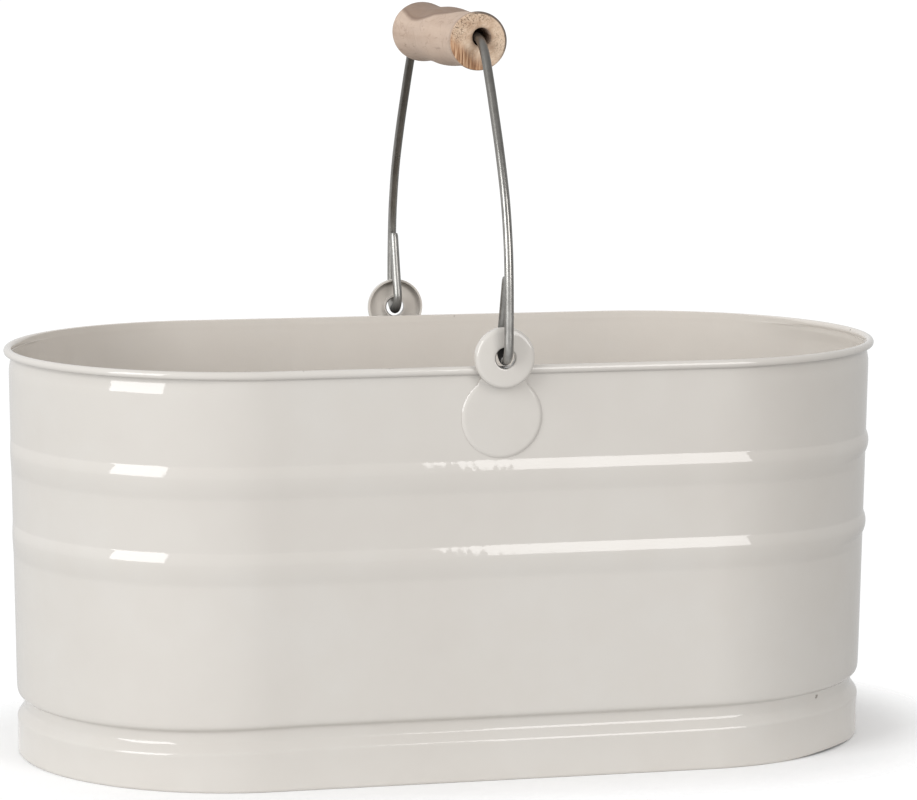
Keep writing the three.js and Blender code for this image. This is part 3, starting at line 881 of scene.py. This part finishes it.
# ------------------------------------------------------------------ stage
def floor_material():
    """Pale floor that holds the shadow round the foot and melts into the white sweep further out."""
    m = Nodes("studio_floor")
    v = m.coords()
    m.link(m.ramp(m.noise(v, 3.0, 2.0), [(0.3, (0.87, 0.87, 0.87)), (0.7, (0.89, 0.89, 0.89))]), m.bsdf.inputs["Base Color"])
    m.bsdf.inputs["Roughness"].default_value = 0.9
    m.bsdf.inputs["Specular IOR Level"].default_value = 0.1
    m.bsdf.inputs["Emission Color"].default_value = (1, 1, 1, 1)
    m.bsdf.inputs["Emission Strength"].default_value = FLOOR_GLOW
    # distance outside the foot's stadium outline
    xyz = m.add("ShaderNodeSeparateXYZ")
    m.link(v, xyz.inputs[0])
    dx = m.math("MAXIMUM", m.math("SUBTRACT", m.math("ABSOLUTE", xyz.outputs["X"]), 0.090), 0.0)
    d = m.math("SUBTRACT", m.math("SQRT", m.math("ADD", m.math("MULTIPLY", dx, dx), m.math("MULTIPLY", xyz.outputs["Y"], xyz.outputs["Y"]))), 0.087)
    clear = m.add("ShaderNodeBsdfTransparent")
    melt = m.add("ShaderNodeMixShader")
    m.link(m.range(d, 0.005, 0.062, 0.0, 1.0, "SMOOTHSTEP"), melt.inputs["Fac"])
    m.link(m.bsdf.outputs["BSDF"], melt.inputs[1])
    m.link(clear.outputs["BSDF"], melt.inputs[2])
    m.link(melt.outputs["Shader"], m.out.inputs["Surface"])
    return m.mat


FLOOR_GLOW = 0.01
fl = bpy.data.meshes.new("floor")
fl.from_pydata([(-0.5, -0.4, 0), (0.5, -0.4, 0), (0.5, 0.4, 0), (-0.5, 0.4, 0)], [], [(0, 1, 2, 3)])
floor = new_object("floor", fl)
fl.materials.append(floor_material())


def softbox(name, azimuth, low, high, width, distance, radiance, colour=(1, 1, 1)):
    """A tall soft light: azimuth in degrees from the front (-Y) towards +X, spanning two elevations."""
    z0, z1 = distance * math.tan(math.radians(low)), distance * math.tan(math.radians(high))
    light = bpy.data.lights.new(name, "AREA")
    light.shape = "RECTANGLE"
    light.size = width
    light.size_y = z1 - z0
    light.energy = radiance * 4 * width * (z1 - z0)
    light.color = colour
    o = bpy.data.objects.new(name, light)
    bpy.context.scene.collection.objects.link(o)
    a = math.radians(azimuth)
    o.location = (distance * math.sin(a), -distance * math.cos(a), (z0 + z1) / 2)
    o.rotation_euler = (math.radians(90), 0, a)
    return o


softbox("right_box", 26.1, 4, 41, 1.09, 2.6, 3.42, (1.012, 0.998, 0.990))
softbox("left_box", -60.2, 4, 41, 1.22, 2.4, 4.3, (0.985, 1.0, 1.012))

# soft surroundings: broad lobes of light, each (azimuth from the front towards +X, elevation, power, strength)
SKY = [(0, 90, 3, 0.71), (-60, 15, 4, 0.23), (15, 15, 4, 0.04), (-130, 15, 4, 0.76), (0, -90, 2, 0.27), (-17, -25, 4, 0.78),
       (150, 10, 6, 0.49), (97, 4, 16, 0.32)]

world = bpy.data.worlds.new("studio")
bpy.context.scene.world = world
world.use_nodes = True
wt = world.node_tree
wt.nodes.clear()
w_out = wt.nodes.new("ShaderNodeOutputWorld")
w_light = wt.nodes.new("ShaderNodeBackground")
w_light.inputs["Color"].default_value = (1, 1, 1, 1)
w_dir = wt.nodes.new("ShaderNodeTexCoord")
total = None
for i, (az, el, power, strength) in enumerate(SKY):
    a, e = math.radians(az), math.radians(el)
    dot = wt.nodes.new("ShaderNodeVectorMath")
    dot.operation = "DOT_PRODUCT"
    dot.inputs[1].default_value = (math.sin(a) * math.cos(e), -math.cos(a) * math.cos(e), math.sin(e))
    wt.links.new(w_dir.outputs["Generated"], dot.inputs[0])
    half = wt.nodes.new("ShaderNodeMapRange")
    half.inputs["From Min"].default_value = -1.0
    wt.links.new(dot.outputs["Value"], half.inputs["Value"])
    lobe = wt.nodes.new("ShaderNodeMath")
    lobe.operation = "POWER"
    lobe.inputs[1].default_value = power
    wt.links.new(half.outputs["Result"], lobe.inputs[0])
    gain = wt.nodes.new("ShaderNodeMath")
    gain.operation = "MULTIPLY"
    gain.inputs[1].default_value = strength
    gain.name = "sky_%d" % i
    wt.links.new(lobe.outputs[0], gain.inputs[0])
    if total is None:
        total = gain.outputs[0]
    else:
        add = wt.nodes.new("ShaderNodeMath")
        wt.links.new(total, add.inputs[0])
        wt.links.new(gain.outputs[0], add.inputs[1])
        total = add.outputs[0]
wt.links.new(total, w_light.inputs["Strength"])
w_seen = wt.nodes.new("ShaderNodeBackground")
w_seen.inputs["Color"].default_value = (1, 1, 1, 1)
w_seen.inputs["Strength"].default_value = 1.05
w_path = wt.nodes.new("ShaderNodeLightPath")
w_mix = wt.nodes.new("ShaderNodeMixShader")
wt.links.new(w_path.outputs["Is Camera Ray"], w_mix.inputs["Fac"])
wt.links.new(w_light.outputs["Background"], w_mix.inputs[1])
wt.links.new(w_seen.outputs["Background"], w_mix.inputs[2])
wt.links.new(w_mix.outputs["Shader"], w_out.inputs["Surface"])

bpy.context.scene.view_settings.view_transform = "Standard"
bpy.context.scene.view_settings.look = "None"


# ------------------------------------------------------------------ camera
def camera():
    az, pitch, rho = math.radians(14.2), math.radians(7.614), math.radians(0.290)
    d = Vector((math.sin(az) * math.cos(pitch), math.cos(az) * math.cos(pitch), -math.sin(pitch)))
    r = Vector((math.cos(az), -math.sin(az), 0))
    u = r.cross(d)
    r2 = r * math.cos(rho) + u * math.sin(rho)
    u2 = u * math.cos(rho) - r * math.sin(rho)
    data = bpy.data.cameras.new("camera")
    data.sensor_fit = "HORIZONTAL"
    data.sensor_width = 36.0
    data.lens = 3951.9 / 917 * 36.0
    data.clip_start = 0.05
    data.clip_end = 60.0
    o = bpy.data.objects.new("camera", data)
    bpy.context.scene.collection.objects.link(o)
    m = Matrix((r2, u2, -d)).transposed().to_4x4()
    m.translation = Vector((-0.391575, -1.571459, 0.357581))
    o.matrix_world = m
    bpy.context.scene.camera = o


camera()
